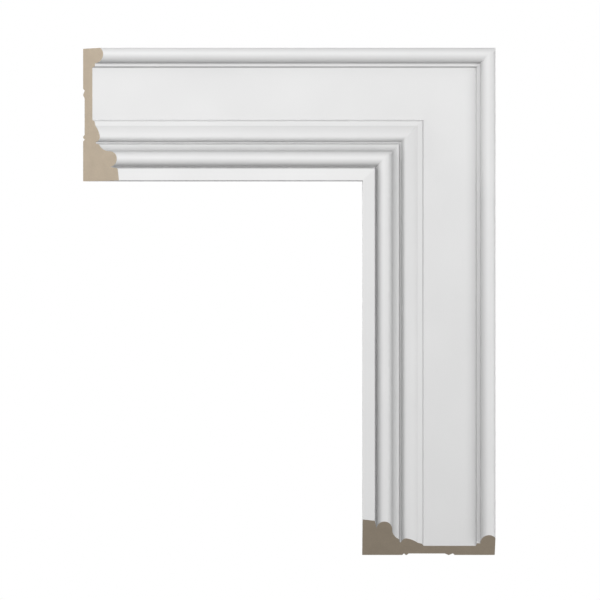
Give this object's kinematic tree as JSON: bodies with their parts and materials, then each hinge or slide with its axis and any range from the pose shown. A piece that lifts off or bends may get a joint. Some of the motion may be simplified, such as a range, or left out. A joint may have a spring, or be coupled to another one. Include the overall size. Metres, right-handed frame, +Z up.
{
  "type": "architrave corner",
  "caption": "Mitred top corner of a white painted moulded door architrave, with both free ends cut back at 45 degrees to show the bare board.",
  "frame": {"origin": "the sight corner: where the inner edges of the head and the leg meet, on the plane of the wall", "axes": "+X to the right along the head, +Y into the wall (the moulded face looks along -Y), +Z up along the leg"},
  "size_m": [0.357, 0.0323, 0.439],
  "materials": {
    "painted_mdf": "white satin paint over primed board; the two cut ends are bare brown fibreboard"
  },
  "bodies": {
    "root": {"architrave_head": "painted_mdf", "architrave_leg": "painted_mdf"}
  },
  "joints": []
}
